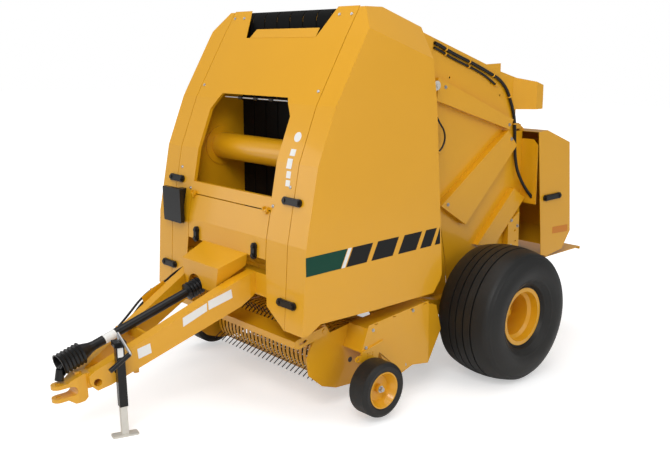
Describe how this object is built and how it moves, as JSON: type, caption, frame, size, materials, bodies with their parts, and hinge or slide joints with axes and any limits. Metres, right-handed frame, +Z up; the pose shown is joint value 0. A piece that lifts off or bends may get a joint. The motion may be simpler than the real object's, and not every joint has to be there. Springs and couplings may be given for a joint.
{
  "type": "round baler",
  "caption": "Towed round baler with hinged side shields, tined pickup reel on gauge wheels, lifting tailgate with hydraulic cylinders, net cover and a tongue with a clevis.",
  "frame": {"origin": "on the floor, under the middle of the whole machine", "axes": "+Z up, -Y towards the hitch at the front, +X towards the machine's left side"},
  "size_m": [2.5242, 4.7234, 2.78],
  "materials": {
    "amber_paint": "gloss",
    "black_paint": "satin",
    "tyre_rubber": "matte",
    "belt_rubber": "matte",
    "hose_rubber": "satin",
    "black_plastic": "satin",
    "bright_steel": "satin"
  },
  "bodies": {
    "frame": {"chamber_walls": "amber_paint", "running_frame": "amber_paint", "front_crossbeam": "amber_paint", "front_panel": "amber_paint", "window_tube": "amber_paint", "front_rollers": "black_paint", "front_belts": "belt_rubber", "tongue_frame": "amber_paint", "tongue_hoses": "hose_rubber", "hitch_clevis": "amber_paint", "gearbox": "amber_paint", "driveline_guard": "black_plastic", "tool_case": "black_plastic"},
    "main_wheel_left": {"main_tyre_left": "tyre_rubber", "main_rim_left": "amber_paint"},
    "main_wheel_right": {"main_tyre_right": "tyre_rubber", "main_rim_right": "amber_paint"},
    "side_shield_left": {"side_shield_left": "amber_paint"},
    "side_shield_right": {"side_shield_right": "amber_paint"},
    "front_door": {"front_door": "amber_paint"},
    "starter_drum": {"starter_drum": "amber_paint"},
    "tailgate": {"tailgate_walls": "amber_paint", "tailgate_ribs": "amber_paint", "tailgate_rollers": "amber_paint", "tailgate_belts": "belt_rubber", "tailgate_hood": "amber_paint", "tailgate_hoses": "hose_rubber", "bale_ramp": "amber_paint"},
    "net_cover": {"net_cover": "amber_paint"},
    "cylinder_barrel_left": {"cylinder_barrel_left": "amber_paint"},
    "cylinder_rod_left": {"cylinder_rod_left": "bright_steel"},
    "cylinder_barrel_right": {"cylinder_barrel_right": "amber_paint"},
    "cylinder_rod_right": {"cylinder_rod_right": "bright_steel"},
    "pickup": {"pickup_frame": "amber_paint", "stripper_bands": "amber_paint", "chain_guards": "amber_paint", "gauge_arms": "amber_paint"},
    "pickup_reel": {"pickup_reel": "amber_paint"},
    "gauge_wheel_left": {"gauge_tyre_left": "tyre_rubber", "gauge_rim_left": "amber_paint"},
    "gauge_wheel_right": {"gauge_tyre_right": "tyre_rubber", "gauge_rim_right": "amber_paint"},
    "windguard": {"windguard": "amber_paint"},
    "jack_tube": {"jack_tube": "black_paint", "jack_crank": "black_paint"},
    "jack_leg": {"jack_leg": "bright_steel"}
  },
  "joints": [
    {"name": "main_wheel_left_spin", "type": "hinge", "parent": "frame", "child": "main_wheel_left", "pos_m": [0.989, 0.88392, 0.525], "axis": [1, 0, 0], "continuous": true},
    {"name": "main_wheel_right_spin", "type": "hinge", "parent": "frame", "child": "main_wheel_right", "pos_m": [-0.989, 0.88392, 0.525], "axis": [1, 0, 0], "continuous": true},
    {"name": "side_shield_left_hinge", "type": "hinge", "parent": "frame", "child": "side_shield_left", "pos_m": [0.868, 0.2328, 0.89243], "axis": [0, -0.1153, 0.9933], "range_deg": [0, 90]},
    {"name": "side_shield_right_hinge", "type": "hinge", "parent": "frame", "child": "side_shield_right", "pos_m": [-0.868, 0.2328, 0.89243], "axis": [0, 0.1153, -0.9933], "range_deg": [0, 90]},
    {"name": "front_door_hinge", "type": "hinge", "parent": "frame", "child": "front_door", "pos_m": [0, -1.04279, 1.4244], "axis": [-1, 0, 0], "range_deg": [0, 80]},
    {"name": "starter_drum_spin", "type": "hinge", "parent": "frame", "child": "starter_drum", "pos_m": [0, -0.3819, 0.79412], "axis": [1, 0, 0], "continuous": true},
    {"name": "tailgate_hinge", "type": "hinge", "parent": "frame", "child": "tailgate", "pos_m": [0, 0.17405, 2.6057], "axis": [1, 0, 0], "range_deg": [0, 60]},
    {"name": "net_cover_hinge", "type": "hinge", "parent": "tailgate", "child": "net_cover", "pos_m": [0, 1.511, 1.93475], "axis": [1, 0, 0], "range_deg": [0, 60]},
    {"name": "pickup_lift", "type": "hinge", "parent": "frame", "child": "pickup", "pos_m": [0, 0.08109, 0.55803], "axis": [1, 0, 0], "range_deg": [0, 3.2]},
    {"name": "pickup_reel_spin", "type": "hinge", "parent": "pickup", "child": "pickup_reel", "pos_m": [0, -0.48344, 0.34319], "axis": [1, 0, 0], "continuous": true},
    {"name": "gauge_wheel_left_spin", "type": "hinge", "parent": "pickup", "child": "gauge_wheel_left", "pos_m": [1.008, -0.50767, 0.23227], "axis": [1, 0, 0], "continuous": true},
    {"name": "gauge_wheel_right_spin", "type": "hinge", "parent": "pickup", "child": "gauge_wheel_right", "pos_m": [-1.008, -0.50767, 0.23227], "axis": [1, 0, 0], "continuous": true},
    {"name": "windguard_hinge", "type": "hinge", "parent": "pickup", "child": "windguard", "pos_m": [0, -0.76299, 0.61393], "axis": [-1, 0, 0], "range_deg": [0, 12]},
    {"name": "jack_swivel", "type": "hinge", "parent": "frame", "child": "jack_tube", "pos_m": [0.176, -1.97745, 0.43813], "axis": [0.975, -0.2218, -0.0116], "range_deg": [0, 90]},
    {"name": "jack_leg_slide", "type": "slide", "parent": "jack_tube", "child": "jack_leg", "axis": [0, 0.0523, -0.9986], "range_m": [0, 0.18]},
    {"name": "cylinder_left_swing", "type": "hinge", "parent": "frame", "child": "cylinder_barrel_left", "pos_m": [0.69, -0.17838, 1.30547], "axis": [1, 0, 0], "range_deg": [-3.79, 1]},
    {"name": "cylinder_left_stroke", "type": "slide", "parent": "cylinder_barrel_left", "child": "cylinder_rod_left", "axis": [0, 0.4562, 0.8899], "range_m": [0, 0.367]},
    {"name": "cylinder_right_swing", "type": "hinge", "parent": "frame", "child": "cylinder_barrel_right", "pos_m": [-0.69, -0.17838, 1.30547], "axis": [1, 0, 0], "range_deg": [-3.79, 1]},
    {"name": "cylinder_right_stroke", "type": "slide", "parent": "cylinder_barrel_right", "child": "cylinder_rod_right", "axis": [0, 0.4562, 0.8899], "range_m": [0, 0.367]}
  ],
  "couplings": [
    {"joint": "cylinder_left_swing", "follows": "tailgate_hinge", "ratio": -0.046546},
    {"joint": "cylinder_left_stroke", "follows": "tailgate_hinge", "m_per_rad": 0.34854},
    {"joint": "cylinder_right_swing", "follows": "tailgate_hinge", "ratio": -0.046546},
    {"joint": "cylinder_right_stroke", "follows": "tailgate_hinge", "m_per_rad": 0.34854}
  ]
}
